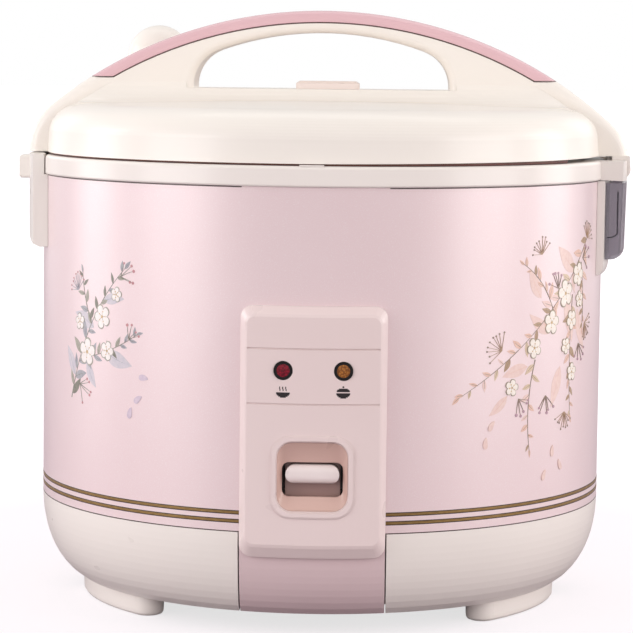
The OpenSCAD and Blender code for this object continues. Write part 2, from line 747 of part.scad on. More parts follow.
// Arm that joins the lid to the hinge pin
module hinge_arm() color(cream) difference() {
    top = lid_z + hinge_gap;
    union() {
        for (y = [[11, 23.4], [-23.4, -11]]) {
            rod_y(hinge_x, hinge_z, 5, y[0], y[1]);
            along_y(y[0], y[1]) polygon([
                [hinge_x - 4.9, hinge_z], [hinge_x + 4.9, hinge_z], [hinge_x + 4.4, top],
                [hinge_x - 4.9, top - 0.03]]);
        }
        along_y(-12, 12) polygon([[hinge_x - 4.9, top - 1.5], [hinge_x + 4.4, top - 1.5],
            [hinge_x + 4.4, top], [hinge_x - 4.9, top - 0.03]]);
    }
    rod_y(hinge_x, hinge_z, pin_r + pin_gap, -40, 40);
}

// ---------------------------------------------------------------- inside the lid

module lid_lining() color(shade) difference() {
    union() {
        rotate_extrude() polygon([
            [0, 232], [119, 232], [121, 233.5], [123, 237.6], [142.6, 237.6], [143.4, 236.6],
            [144.8, 236.6], [144.8, 240], [142, 240], [122, 240], [119.4, 234.6], [0, 234.6]]);
        lid_screw_places() translate([0, 0, 238]) cylinder(r = 4, h = 8);
    }
    lid_screw_places() translate([0, 0, 230]) cylinder(r = 1.6, h = 40);
    translate([cap_x, cap_y, 230]) cylinder(r = 8, h = 10);
    cylinder(r = 3, h = far);
}

module lid_screw_places() {
    for (a = [45:90:315]) rotate(a) translate([132, 0, 0]) children();
}

module lid_screws() color(steel) lid_screw_places() {
    translate([0, 0, 236.5]) cylinder(r = 2.9, h = 1.1);
    translate([0, 0, 237.6]) cylinder(r = 1.5, h = 10);
}

// Stud that the inner lid presses on to
module inner_lid_stud() color(shade) rotate_extrude() polygon([
    [0, 222.6], [3.4, 222.6], [4.6, 223.6], [4.6, 224.8], [3.8, 225.6], [3.8, 231.9],
    [2.9, 232], [2.9, 236], [0, 236]]);

module inner_lid_grommet() color("#6d6a70") rotate_extrude() polygon([
    [3.9, 225.9], [9, 225.2], [9.4, 225.8], [9.4, 226.6], [7, 227], [7, 228.4], [9.4, 228.8],
    [9.4, 229.8], [3.9, 230.2]]);

module inner_lid() color(alloy) difference() {
    rotate_extrude() polygon([
        [7.1, 227.1], [60, 226.8], [104, 225], [108, 225.6], [112, 227.6], [112, 229],
        [111, 228.8], [107.6, 226.8], [104, 226.2], [60, 228], [7.1, 228.3]]);
    for (i = [0:5]) rotate(i * 60) translate([42, 0, 220]) cylinder(r = 2.2, h = 12);
}

// Silicone ring whose lip comes down on the pot's flange
module inner_lid_seal() color("#e6e2dc") rotate_extrude() polygon([
    [109.6, 229.2], [112.2, 229.2], [112.2, 227.4], [113.8, 227.4], [114, 230.4], [119.6, 231],
    [120, 231.4], [119.4, 231.7], [112.6, 231.7], [109.6, 230.6]]);

// ---------------------------------------------------------------- steam vent

module steam_pipe() color(shade) translate([cap_x, cap_y, 0]) difference() {
    union() {
        translate([0, 0, 234.6]) cylinder(r = 13.9, h = lid_top_z - 232.6);
        translate([0, 0, lid_top_z + 1]) cylinder(r = cap_r, h = 3.6);
    }
    translate([0, 0, 237]) cylinder(r = 11.6, h = 60);
    translate([0, 0, 230]) cylinder(r = 7, h = 10);
}

module steam_cap() color(cream) translate([cap_x, cap_y, 0]) difference() {
    seat = lid_top_z + 5;
    union() {
        rotate_extrude() polygon(concat(
            [[0, seat], [cap_r - 0.6, seat], [cap_r, seat + 0.6]],
            arc([0, cap_z - cap_r], cap_r, cap_r, 0, 90, 14)));
        translate([0, 0, 246]) cylinder(r = 11.2, h = seat - 246 + 1);
    }
    translate([0, 0, 240]) cylinder(r = 9.6, h = seat - 240 + 2);
    rotate_extrude() polygon(concat([[0, seat + 2], [cap_r - 2, seat + 2]],
        arc([0, cap_z - cap_r], cap_r - 2, cap_r - 2, 0, 90, 10)));
    for (s = [-1, 0, 1]) translate([s * 6, 0, cap_z - 8]) rotate([-60, 0, 0])
        translate([-1.2, -5, 0]) cube([2.4, 10, 30]);
}

// ---------------------------------------------------------------- drawing

base_shell();
bottom_cover();
base_screws();
foot(270 - 63);  // foot_front_left
foot(270 + 63);  // foot_front_right
foot(90 + 63);  // foot_rear_left
foot(90 - 63);  // foot_rear_right
body_wall();
rim_ring();
front_panel();
front_insert();
lamp_bezels();
cook_lamp();
warm_lamp();
inner_case();
keep_warm_heater();
heater_plate();
heater_element();
inner_pot();
sensor_tube();
sensor_spring();
sensor_cap();
magnet_rod();
switch_bracket();
switch_pin();
microswitch();
switch_guide();
switch_lever();
inlet_socket();
inlet_pins();
latch_cover();
latch_pin();
latch_spring();
latch_hook();
latch_button();
dew_bracket();
dew_collector();
hinge_pin();
lid_spring();
lid_shell();
handle_cover();
centre_cap();
hinge_arm();
lid_catch();
lid_lining();
lid_screws();
inner_lid_stud();
inner_lid_grommet();
inner_lid();
inner_lid_seal();
steam_pipe();
steam_cap();
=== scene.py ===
"""Looks of the rice cooker: materials, painted decoration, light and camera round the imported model.

Metres. The origin is on the table under the body's axis, +X towards the lid hinge, -Y the front.
"""
import json
import math
import random

import bmesh
import bpy
from mathutils import Matrix, Vector


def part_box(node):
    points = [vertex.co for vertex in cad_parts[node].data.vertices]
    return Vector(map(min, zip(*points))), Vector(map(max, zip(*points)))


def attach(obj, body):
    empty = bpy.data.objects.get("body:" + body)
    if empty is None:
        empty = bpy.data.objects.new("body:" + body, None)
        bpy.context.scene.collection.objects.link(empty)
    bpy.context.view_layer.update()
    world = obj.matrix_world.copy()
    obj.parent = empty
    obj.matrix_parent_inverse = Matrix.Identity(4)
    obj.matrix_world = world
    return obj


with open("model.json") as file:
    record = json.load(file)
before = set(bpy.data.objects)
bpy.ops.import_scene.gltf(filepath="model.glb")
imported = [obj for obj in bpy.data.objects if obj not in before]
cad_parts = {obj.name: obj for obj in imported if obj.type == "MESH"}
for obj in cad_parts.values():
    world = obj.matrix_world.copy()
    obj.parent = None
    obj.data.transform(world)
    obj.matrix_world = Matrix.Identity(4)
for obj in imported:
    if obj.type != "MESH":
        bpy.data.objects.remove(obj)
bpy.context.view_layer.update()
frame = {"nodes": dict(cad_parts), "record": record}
nodes = frame["nodes"]
MM = 0.001
WALL_R = 0.150       # radius of the enamelled wall
PANEL_HALF = 0.036   # half the width of the control panel
PANEL_R = 0.156      # radius of its face
PANEL_STOP = math.degrees(math.asin(PANEL_HALF / WALL_R)) + 0.05   # azimuth where rings stop


# ---------------------------------------------------------------- camera, floor and light

def map_range(tree, value, start, end, low, high):
    """An output that maps value from start..end to low..high."""
    node = tree.nodes.new("ShaderNodeMapRange")
    for socket, number in zip(("From Min", "From Max", "To Min", "To Max"),
                              (start, end, low, high)):
        node.inputs[socket].default_value = number
    tree.links.new(value, node.inputs["Value"])
    return node.outputs[0]


def mix_shaders(tree, factor, first, second):
    """A shader that is first where factor is 0 and second where it is 1."""
    node = tree.nodes.new("ShaderNodeMixShader")
    for source, socket in zip((factor, first, second), node.inputs):
        tree.links.new(source, socket)
    return node.outputs[0]


def add_camera():
    """The reference view: a long lens, a little from the right and above."""
    focal_px = 2698.1
    frame_px = 633
    sensor = 36.0
    place = Vector((35.3, -1455.9, 289.7)) * MM
    heading, pitch, roll = (math.radians(a) for a in (1.5, -5.58, 0.645))
    data = bpy.data.cameras.new("camera")
    data.sensor_width = sensor
    data.lens = focal_px / frame_px * sensor
    data.clip_end = 100
    camera = bpy.data.objects.new("camera", data)
    bpy.context.scene.collection.objects.link(camera)
    turn = Matrix.Rotation(heading, 4, "Z") @ Matrix.Rotation(math.pi / 2 + pitch, 4, "X")
    camera.matrix_world = Matrix.Translation(place) @ turn @ Matrix.Rotation(roll, 4, "Z")
    bpy.context.scene.camera = camera


def add_softbox(name, azimuth, distance, height, size, power, tint=(1, 1, 1)):
    """A rectangular lamp at an azimuth from the front, positive to the right, facing the part."""
    target = Vector((0, 0, 0.15))
    a = math.radians(azimuth)
    data = bpy.data.lights.new(name, "AREA")
    data.shape = "RECTANGLE"
    data.size, data.size_y = size
    data.energy = power
    data.color = tint
    lamp = bpy.data.objects.new(name, data)
    bpy.context.scene.collection.objects.link(lamp)
    lamp.location = (distance * math.sin(a), -distance * math.cos(a), height)
    lamp.rotation_euler = (target - lamp.location).to_track_quat("-Z", "Y").to_euler()


def add_world():
    """White where it is seen, and otherwise a soft dome of plain light, with a dimmer room in
    front for the gloss to mirror."""
    horizon, zenith = 1.66, 0.3      # strength of the dome low down and overhead
    front, back = 0.4, 0.8           # strength of what the gloss mirrors
    world = bpy.data.worlds.new("studio")
    bpy.context.scene.world = world
    world.use_nodes = True
    tree = world.node_tree
    tree.nodes.clear()
    dome, mirrored, seen = (tree.nodes.new("ShaderNodeBackground") for _ in range(3))
    dome.inputs["Color"].default_value = (1.0, 0.98, 0.975, 1)
    for shader in (mirrored, seen):
        shader.inputs["Color"].default_value = (1, 1, 1, 1)
    place = tree.nodes.new("ShaderNodeTexCoord")
    split = tree.nodes.new("ShaderNodeSeparateXYZ")
    tree.links.new(place.outputs["Generated"], split.inputs[0])
    for shader, axis, numbers in ((dome, "Z", (0.0, 1.0, horizon, zenith)),
                                  (mirrored, "Y", (-0.5, 0.3, front, back))):
        strength = map_range(tree, split.outputs[axis], *numbers)
        tree.links.new(strength, shader.inputs["Strength"])
    path = tree.nodes.new("ShaderNodeLightPath")
    gloss = tree.nodes.new("ShaderNodeMath")
    gloss.operation = "MAXIMUM"
    for ray, socket in zip(("Is Glossy Ray", "Is Transmission Ray"), gloss.inputs):
        tree.links.new(path.outputs[ray], socket)
    unseen = mix_shaders(tree, gloss.outputs[0], dome.outputs[0], mirrored.outputs[0])
    surface = mix_shaders(tree, path.outputs["Is Camera Ray"], unseen, seen.outputs[0])
    out = tree.nodes.new("ShaderNodeOutputWorld")
    tree.links.new(surface, out.inputs["Surface"])


def add_floor():
    """A pale floor that keeps the part's shadow and runs out to white."""
    near, far = 0.3, 0.75            # distances between which the floor turns white
    shade, white = 0.72, 1.0         # what the camera sees added to the lit floor there
    bpy.ops.mesh.primitive_plane_add(size=40)
    floor = bpy.context.object
    floor.name = "floor"
    material = bpy.data.materials.new("floor")
    material.use_nodes = True
    tree = material.node_tree
    tree.nodes.clear()
    lit = tree.nodes.new("ShaderNodeBsdfDiffuse")
    lit.inputs["Color"].default_value = (0.32, 0.27, 0.30, 1)
    glow = tree.nodes.new("ShaderNodeEmission")
    place = tree.nodes.new("ShaderNodeTexCoord")
    length = tree.nodes.new("ShaderNodeVectorMath")
    length.operation = "LENGTH"
    tree.links.new(place.outputs["Object"], length.inputs[0])
    strength = map_range(tree, length.outputs["Value"], near, far, shade, white)
    tree.links.new(strength, glow.inputs["Strength"])
    add = tree.nodes.new("ShaderNodeAddShader")
    tree.links.new(lit.outputs[0], add.inputs[0])
    tree.links.new(glow.outputs[0], add.inputs[1])
    path = tree.nodes.new("ShaderNodeLightPath")
    surface = mix_shaders(tree, path.outputs["Is Camera Ray"], lit.outputs[0], add.outputs[0])
    out = tree.nodes.new("ShaderNodeOutputMaterial")
    tree.links.new(surface, out.inputs["Surface"])
    floor.data.materials.append(material)


def light_the_set():
    """Three upright softboxes on each side, from front to back, and a broad one overhead."""
    distance, height, tall = 1.6, 0.45, 1.0
    plain, warm = (1, 1, 1), (1.0, 0.99, 0.965)
    bpy.context.scene.view_settings.view_transform = "Standard"
    add_world()
    add_floor()
    for name, azimuth, width, power, tint in (
            ("left_box", -56, 0.85, 7.1, plain), ("left_rim", -98, 0.6, 5.0, plain),
            ("left_back", -138, 0.6, 1.2, plain), ("right_box", 66, 0.85, 6.7, warm),
            ("right_rim", 104, 0.6, 4.5, warm), ("right_back", 142, 0.6, 1.2, warm)):
        add_softbox(name, azimuth, distance, height, (width, tall), power, tint)
    add_softbox("top_box", 170, 0.6, 1.7, (1.6, 0.5), 2.5)


# ---------------------------------------------------------------- materials

def linear(hex_colour):
    """A colour written as it looks on a screen, as the numbers a shader takes."""
    parts = [int(hex_colour[i:i + 2], 16) / 255 for i in (1, 3, 5)]
    return (*(c / 12.92 if c < 0.04045 else ((c + 0.055) / 1.055) ** 2.4 for c in parts), 1.0)


class Shader:
    """A Principled material with the few kinds of detail that this part needs."""

    def __init__(self, name, **sockets):
        self.material = bpy.data.materials.new(name)
        self.material.use_nodes = True
        self.tree = self.material.node_tree
        self.bsdf = self.tree.nodes["Principled BSDF"]
        self.place = self.new("ShaderNodeTexCoord").outputs["Object"]
        for socket, value in sockets.items():
            self.bsdf.inputs[socket.replace("_", " ")].default_value = value

    def new(self, kind, **settings):
        node = self.tree.nodes.new(kind)
        for key, value in settings.items():
            setattr(node, key, value)
        return node

    def link(self, source, target):
        self.tree.links.new(source, target)

    def noise(self, size, detail=3.0, stretch=None):
        """Noise whose blobs are about size metres across, from 0 to 1."""
        node = self.new("ShaderNodeTexNoise")
        node.inputs["Scale"].default_value = 1 / size
        node.inputs["Detail"].default_value = detail
        place = self.place
        if stretch:
            mapping = self.new("ShaderNodeMapping")
            mapping.inputs["Scale"].default_value = stretch
            self.link(place, mapping.inputs["Vector"])
            place = mapping.outputs[0]
        self.link(place, node.inputs["Vector"])
        return node.outputs["Fac"]

    def spread(self, value, low, high, start=0.3, end=0.7):
        """Maps value from start..end to low..high."""
        return map_range(self.tree, value, start, end, low, high)

    def mix(self, factor, first, second):
        """A colour between first and second, each a hex colour or an output."""
        node = self.new("ShaderNodeMix", data_type="RGBA")
        factor_in, first_in, second_in, colour_out = 0, 6, 7, 2     # the node's colour sockets
        self.link(factor, node.inputs[factor_in])
        for index, colour in ((first_in, first), (second_in, second)):
            if isinstance(colour, str):
                node.inputs[index].default_value = linear(colour)
            else:
                self.link(colour, node.inputs[index])
        return node.outputs[colour_out]

    def colour(self, output):
        self.link(output, self.bsdf.inputs["Base Color"])

    def roughness(self, output):
        self.link(output, self.bsdf.inputs["Roughness"])

    def relief(self, height, depth, edge=None):
        """Bump of a depth in metres, over edges rounded to a radius in metres."""
        bump = self.new("ShaderNodeBump")
        bump.inputs["Distance"].default_value = depth
        bump.inputs["Strength"].default_value = 1.0
        self.link(height, bump.inputs["Height"])
        if edge:
            bevel = self.new("ShaderNodeBevel", samples=4)
            bevel.inputs["Radius"].default_value = edge
            self.link(bevel.outputs[0], bump.inputs["Normal"])
        self.link(bump.outputs[0], self.bsdf.inputs["Normal"])


def moulding(name, pale, deep, rough=0.28):
    """A glossy moulded plastic: faint cloudiness, moulded-in flecks and a slight orange peel."""
    s = Shader(name, Coat_Weight=0.25, Coat_Roughness=0.12, Specular_IOR_Level=0.5)
    cloud = s.mix(s.spread(s.noise(0.09, 1.0), 0, 1, 0.2, 0.8), pale, deep)
    fleck = s.spread(s.noise(0.0006, 1.0), 0, 0.35, 0.66, 0.76)
    s.colour(s.mix(fleck, cloud, deep))
    s.roughness(s.spread(s.noise(0.02, 2.0), rough - 0.01, rough + 0.02, 0.2, 0.8))
    s.relief(s.noise(0.0022, 2.0), 0.00001, 0.0004)
    return s.material


def lever_moulding(name, pale, deep, behind):
    """The lever's glossy paddle, and its plate further in, painted darker as the shade in the slot.
    """
    paddle_y, plate_y = -0.1482, -0.1478
    s = Shader(name, Coat_Weight=0.5, Coat_Roughness=0.1, Specular_IOR_Level=0.5)
    split = s.new("ShaderNodeSeparateXYZ")
    s.link(s.place, split.inputs[0])
    plate_shade_mask = s.spread(split.outputs["Y"], 0, 1, paddle_y, plate_y)
    cloud = s.mix(s.spread(s.noise(0.02, 1.0), 0, 1, 0.2, 0.8), pale, deep)
    # The plate further in takes a darker colour: painted shade in the slot.
    s.colour(s.mix(plate_shade_mask, cloud, behind))
    s.roughness(s.spread(s.noise(0.01, 2.0), 0.2, 0.24, 0.2, 0.8))
    s.relief(s.noise(0.0022, 2.0), 0.00001, 0.0004)
    return s.material


def satin_moulding(name, pale, deep, rough=0.5):
    """A satin, finely grained plastic, as inner mouldings have."""
    s = Shader(name, Specular_IOR_Level=0.4)
    s.colour(s.mix(s.spread(s.noise(0.03), 0, 1), pale, deep))
    s.roughness(s.spread(s.noise(0.004), rough - 0.05, rough + 0.08))
    s.relief(s.noise(0.0006, 2.0), 0.00002, 0.0003)
    return s.material


def enamel(name, pale, deep):
    """Pearly baked enamel: fine pearl grains in the colour under a clear coat."""
    s = Shader(name, Coat_Weight=1.0, Coat_Roughness=0.32, Coat_IOR=1.6, Specular_IOR_Level=1.0,
               Sheen_Weight=0.08, Sheen_Roughness=0.4, Sheen_Tint=linear("#efe4ff"), Metallic=0.1)
    cloud = s.mix(s.spread(s.noise(0.08), 0, 1), pale, deep)
    pearl = s.spread(s.noise(0.0005, 2.0), 0, 0.5, 0.55, 0.75)
    s.colour(s.mix(pearl, cloud, "#fbeff0"))
    s.roughness(s.spread(s.noise(0.001, 2.0), 0.36, 0.46))
    s.relief(s.noise(0.004, 2.0), 0.000012)
    return s.material


def sheet_metal(name, pale, deep, rough=0.32, stretch=(1, 1, 14), metal=1.0, scale=0.004):
    """Bare metal with fine drawn or turned lines."""
    s = Shader(name, Metallic=metal)
    lines = s.noise(scale, 4.0, stretch)
    s.colour(s.mix(s.spread(lines, 0, 1), pale, deep))
    s.roughness(s.spread(lines, rough - 0.06, rough + 0.1))
    s.relief(lines, 0.00002, 0.0002)
    return s.material


def cast_metal(name, pale, deep):
    """Cast aluminium with a turned face and a slightly pitted skin."""
    s = Shader(name, Metallic=1.0)
    s.colour(s.mix(s.spread(s.noise(0.006), 0, 1), pale, deep))
    s.roughness(s.spread(s.noise(0.002), 0.36, 0.52))
    s.relief(s.noise(0.0012), 0.00004, 0.0003)
    return s.material


def clear_moulding(name, tint, rough, see_through):
    """A tinted clear plastic: partly clear, partly cloudy."""
    s = Shader(name, Transmission_Weight=see_through, IOR=1.49, Specular_IOR_Level=0.5,
               Base_Color=linear(tint))
    s.roughness(s.spread(s.noise(0.01), rough, rough + 0.06))
    s.relief(s.noise(0.004, 1.0), 0.00001, 0.0004)
    return s.material


def lens(name, centre, rim, glow):
    """A lamp lens, ribbed behind its smooth face, darker to the rim."""
    s = Shader(name, Coat_Weight=0.4, Coat_Roughness=0.05, Specular_IOR_Level=0.4,
               Emission_Color=linear(centre), Emission_Strength=glow)
    ribs = s.new("ShaderNodeTexVoronoi")
    ribs.inputs["Scale"].default_value = 1 / MM
    s.link(s.place, ribs.inputs["Vector"])
    s.colour(s.mix(s.spread(ribs.outputs["Distance"], 0, 1, 0.1, 0.7), centre, rim))
    s.roughness(s.spread(s.noise(0.001), 0.15, 0.25))
    s.relief(ribs.outputs["Distance"], 0.0001)
    return s.material


def silicone(name, pale, deep):
    """Soft silicone with a matt, slightly dusty skin."""
    s = Shader(name, Subsurface_Weight=0.15, Subsurface_Scale=0.003, Specular_IOR_Level=0.35)
    s.colour(s.mix(s.spread(s.noise(0.01), 0, 1), pale, deep))
    s.roughness(s.spread(s.noise(0.003), 0.5, 0.62))
    s.relief(s.noise(0.0008), 0.00002)
    return s.material


def paint_on(name, pale, deep, size=0.002):
    """Printed colour on the enamel, thinner in places like a brush stroke."""
    s = Shader(name, Coat_Weight=0.4, Coat_Roughness=0.2)
    s.colour(s.mix(s.spread(s.noise(size), 0, 1, 0.35, 0.65), pale, deep))
    s.roughness(s.spread(s.noise(0.001), 0.38, 0.46))
    return s.material


def make_finishes():
    """One material for each slot of the record, and a few for single nodes."""
    return {
        "cream_plastic": moulding("cream_plastic", "#f4ece6", "#f1e8e2"),
        # A lighter copy of the cream plastic for the latch: painted light on its front.
        "cream_painted_lit": moulding("cream_painted_lit", "#f9f4ee", "#f7f0e9"),
        # A rosier copy of the cream plastic for the centre cap: painted pink shade under the handle.
        "cream_painted_pink_shade": moulding("cream_painted_pink_shade", "#f4e6e0", "#f1e2dc", rough=0.32),
        "lid_plastic": moulding("lid_plastic", "#f6efe7", "#f4ece4", rough=0.32),
        "inner_plastic": satin_moulding("inner_plastic", "#ebe2d6", "#e2d7ca"),
        "pink_enamel": enamel("pink_enamel", "#f2dadc", "#f0d6d8"),
        "rose_plastic": moulding("rose_plastic", "#e6bec3", "#e2b8be", rough=0.18),
        "panel_plastic": moulding("panel_plastic", "#eddad8", "#ead6d4"),
        "insert_plastic": moulding("insert_plastic", "#e0c8ca", "#ddc4c6"),
        # Its third colour is painted shade on the lever's plate, further in than the paddle.
        "lever_plastic": lever_moulding("lever_plastic", "#f3e6e4", "#efe0de", "#b8958e"),
        "black_plastic": satin_moulding("black_plastic", "#1d1a1a", "#141212", 0.35),
        "red_lens": lens("red_lens", "#98102a", "#5a0a1a", 0.03),
        "amber_lens": lens("amber_lens", "#b8762e", "#75431c", 0.03),
        "smoky_plastic": clear_moulding("smoky_plastic", "#d4ced8", 0.1, 0.7),
        "pot_alloy": sheet_metal("pot_alloy", "#c9cbcc", "#aeb0b2"),
        "cast_alloy": cast_metal("cast_alloy", "#b9babc", "#9d9fa2"),
        "plain_steel": sheet_metal("plain_steel", "#bdbfc1", "#a5a7aa", 0.4),
        "bright_steel": sheet_metal("bright_steel", "#d2d3d6", "#bcbec1", 0.2),
        "heater_tube": sheet_metal("heater_tube", "#6f6d6d", "#565453", 0.5),
        "foil": sheet_metal("foil", "#bdb0a4", "#9d9084", 0.45),
        "ferrite": satin_moulding("ferrite", "#37373b", "#2b2b2f", 0.55),
        "grey_silicone": silicone("grey_silicone", "#6f6c72", "#626066"),
        "clear_silicone": silicone("clear_silicone", "#e6e1da", "#d9d3cb"),
    }


def finish_nodes(finishes):
    """Gives each CAD node its slot's material and smooth shading up to its real edges."""
    # The latch's cover and button take the lighter copy of the cream: painted light.
    own_finish = {"latch_cover": "cream_painted_lit", "latch_button": "cream_painted_lit",
                  # The centre cap takes the rosier copy of the cream: painted shade.
                  "centre_cap": "cream_painted_pink_shade"}
    sharp_angle, own_angle = 26, {"front_panel": 17}
    slots = {row["node"]: row["material_slot"] for row in frame["record"]["subparts"]}
    for name, obj in nodes.items():
        obj.data.materials.clear()
        obj.data.materials.append(finishes[own_finish.get(name, slots[name])])
        obj.data.shade_smooth()
        obj.data.set_sharp_from_angle(angle=math.radians(own_angle.get(name, sharp_angle)))


# ---------------------------------------------------------------- printed decoration

class Print:
    """Thin closed forms of colour on a round upright face, gathered into one piece per colour.

    Places are (u, z): u runs along the face from its middle at the front, positive to the right.
    """

    OUT = 0.05 * MM          # how far the first form stands proud of the face
    STEP = 0.0007 * MM       # and how much further each later one does
    SUNK = -0.09 * MM        # where their backs are
    THIN = 0.02 * MM         # half the least width of a stroke

    def __init__(self, prefix, radius, slot, colours):
        self.prefix, self.radius, self.slot, self.colours = prefix, radius, slot, colours
        self.forms = {}
        self.laid = 0

    def point(self, u, z, lift):
        a = u / self.radius
        r = self.radius + lift
        return r * math.sin(a), -r * math.cos(a), z

    def lay(self, colour, rows):
        """Adds a form from rows of (u, z) points across it, a hair over the one before."""
        form = self.forms.setdefault(colour, bmesh.new())
        self.laid += 1
        top, low = ([[form.verts.new(self.point(u, z, lift)) for u, z in row] for row in rows]
                    for lift in (self.OUT + self.STEP * self.laid, self.SUNK))
        last_row, last = len(rows) - 1, len(rows[0]) - 1
        for i in range(last_row):
            for j in range(last):
                form.faces.new((top[i][j], top[i][j + 1], top[i + 1][j + 1], top[i + 1][j]))
                form.faces.new((low[i][j], low[i + 1][j], low[i + 1][j + 1], low[i][j + 1]))
        rim = ([(0, j) for j in range(last)] + [(i, last) for i in range(last_row)]
               + [(last_row, j) for j in range(last, 0, -1)]
               + [(i, 0) for i in range(last_row, 0, -1)])
        for (i, j), (k, m) in zip(rim, rim[1:] + rim[:1]):
            form.faces.new((top[i][j], low[i][j], low[k][m], top[k][m]))

    def stroke(self, colour, start, heading, length, width, shape="line", turn=0, steps=9,
               across=2):
        """A form along a spine that leaves start at heading and turns by turn degrees. Gives
        the spine's end."""
        u, z = start
        rows = []
        before = 0
        for k in range(steps + 1):
            t = 1 - (1 - k / steps) ** 1.4 if shape in ("petal", "dot") else k / steps
            a = math.radians(heading + turn * t)
            u += (t - before) * length * math.cos(a)
            z += (t - before) * length * math.sin(a)
            before = t
            half = width / 2 * SHAPES[shape](t) + self.THIN
            rows.append([(u - math.sin(a) * half * s, z + math.cos(a) * half * s)
                         for s in (2 * j / across - 1 for j in range(across + 1))])
        self.lay(colour, rows)
        return u, z

    def dot(self, colour, u, z, size):
        self.stroke(colour, (u, z + size / 2), -90, size, size, "dot", steps=6)

    def finish(self):
        """Makes one piece of each colour's forms, riding on the housing."""
        for colour, form in self.forms.items():
            bmesh.ops.recalc_face_normals(form, faces=form.faces)
            piece = add_mesh(f"{self.prefix}_{colour}", form, "housing")
            piece.data.materials.append(self.colours[colour])


# Width of each kind of stroke along its length, from 0 to 1
SHAPES = {
    "line": lambda t: 1 - 0.6 * t,
    "leaf": lambda t: math.sin(math.pi * t ** 0.8),
    "petal": lambda t: (t * (2 - t)) ** 0.7 * (1 - t ** 5) ** 0.5,
    "dot": lambda t: 2 * math.sqrt(max(t - t * t, 0)),
    "bar": lambda t: 1,
}


def add_mesh(name, form, body):
    """An object made from a bmesh, which rides on a body."""
    mesh = bpy.data.meshes.new(name)
    form.to_mesh(mesh)
    form.free()
    piece = bpy.data.objects.new(name, mesh)
    bpy.context.scene.collection.objects.link(piece)
    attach(piece, body)
    return piece


def blossom(ink, u, z, size, heading, petal, edge, heart):
    """A round open blossom seen from the front."""
    petals = 5
    reach = size * 0.2               # length of the stamens
    for colour, grow in ((edge, 1.0), (petal, 0.9)):
        for k in range(petals):
            a = heading + 360 * k / petals
            ink.stroke(colour, (u, z), a, size / 2 * grow, size * 0.43 * grow, "petal")
    for k in range(petals):
        a = math.radians(heading + 360 * (k + 0.5) / petals)
        ink.stroke(edge, (u, z), math.degrees(a), reach, 0.3 * MM)
        ink.dot(heart, u + reach * math.cos(a), z + reach * math.sin(a), 0.8 * MM)
    ink.dot(heart, u, z, size * 0.13)


def sprig(ink, rng, start, heading, length, turn, stem, leaves, size, count):
    """A twig with leaves on both sides, which grow smaller towards its tip."""
    least, most = 34, 62             # angles between a leaf and the twig
    parts = 3                        # the twig is drawn in ever thinner parts
    per = count // parts
    u, z = start
    for part in range(parts):
        at = heading + turn * part / parts
        for k in range(per):
            t = (k + 0.5) / per
            a = math.radians(at + turn / parts * t / 2)
            along = length / parts * t
            side = 1 if k % 2 else -1
            grown = size * (1.15 - 0.6 * (part + t) / parts) * rng.uniform(0.8, 1.2)
            leaf(ink, rng, (u + along * math.cos(a), z + along * math.sin(a)),
                 math.degrees(a) + side * rng.uniform(least, most), grown,
                 rng.choice(leaves), stem)
        u, z = ink.stroke(stem, (u, z), at, length / parts, (0.62 - 0.12 * part) * MM,
                          turn=turn / parts)
    leaf(ink, rng, (u, z), heading + turn, size * 0.6, leaves[0], stem)


def leaf(ink, rng, start, heading, length, colour, vein):
    """A pointed leaf with a darker vein."""
    vein_part = 0.72                 # of the leaf's length
    bend = rng.uniform(-25, 25)
    ink.stroke(colour, start, heading, length, length * rng.uniform(0.3, 0.42), "leaf", bend,
               steps=10, across=4)
    ink.stroke(vein, start, heading, length * vein_part, 0.28 * MM, turn=bend * vein_part)


def berries(ink, rng, start, heading, reach, stem, colour, count):
    """A loose fan of berries on fine stalks."""
    apart = 24
    for k in range(count):
        a = heading + (k - (count - 1) / 2) * apart + rng.uniform(-8, 8)
        u, z = ink.stroke(stem, start, a, reach * rng.uniform(0.7, 1.1), 0.3 * MM,
                          turn=rng.uniform(-20, 20))
        ink.dot(colour, u, z, rng.uniform(1.1, 1.8) * MM)


def seed_head(ink, rng, start, heading, reach, ray, tip):
    """A fan of fine rays with a dot on each, like grass in seed."""
    rays, apart = 9, 17
    for k in range(rays):
        a = heading + (k - (rays - 1) / 2) * apart + rng.uniform(-4, 4)
        u, z = ink.stroke(ray, start, a, reach * rng.uniform(0.75, 1.05), 0.26 * MM)
        ink.dot(tip, u, z, 0.95 * MM)


def mm_pair(pair):
    return pair[0] * MM, pair[1] * MM


def left_spray(ink, rng):
    """A spray that leans up to the right, with two side twigs, in whites and grey-greens."""
    cool = ["slate", "sage", "slate", "moss"]
    for start, heading, length in (
            ((-146, 124), 118, 17), ((-128, 150), 152, 19), ((-118, 138), -22, 20),
            ((-120, 164), 20, 16), ((-134, 132), -70, 15)):
        leaf(ink, rng, mm_pair(start), heading, length * MM, "mist", "slate")
    for start, heading, length, turn, size, count in (
            ((-150, 112), 72, 84, -30, 9.5, 18), ((-137, 134), 8, 44, 22, 7.5, 12),
            ((-130, 152), 122, 27, -26, 7, 6)):
        sprig(ink, rng, mm_pair(start), heading, length * MM, turn, "moss", cool, size * MM,
              count)
    for start, heading, reach, count in (
            ((-107, 177), 20, 9, 5), ((-141, 120), -20, 10, 5), ((-101, 146), 60, 8, 4)):
        berries(ink, rng, mm_pair(start), heading, reach * MM, "moss", "berry", count)
    seed_head(ink, rng, mm_pair((-143, 168)), 112, 9 * MM, "slate", "berry")
    for u, z, size, heading in (
            (-134, 137, 15, 12), (-121, 156, 13, 40), (-117, 139, 10.5, 70),
            (-141, 152, 9, 25), (-110, 168, 8, 5)):
        blossom(ink, u * MM, z * MM, size * MM, heading, "white", "sage", "gold")
    for u, z, heading in ((-92, 118, 200), (-99, 112, 240), (-88, 127, 160)):
        ink.stroke("lilac", mm_pair((u, z)), heading, 6 * MM, 3.6 * MM, "petal", 30)


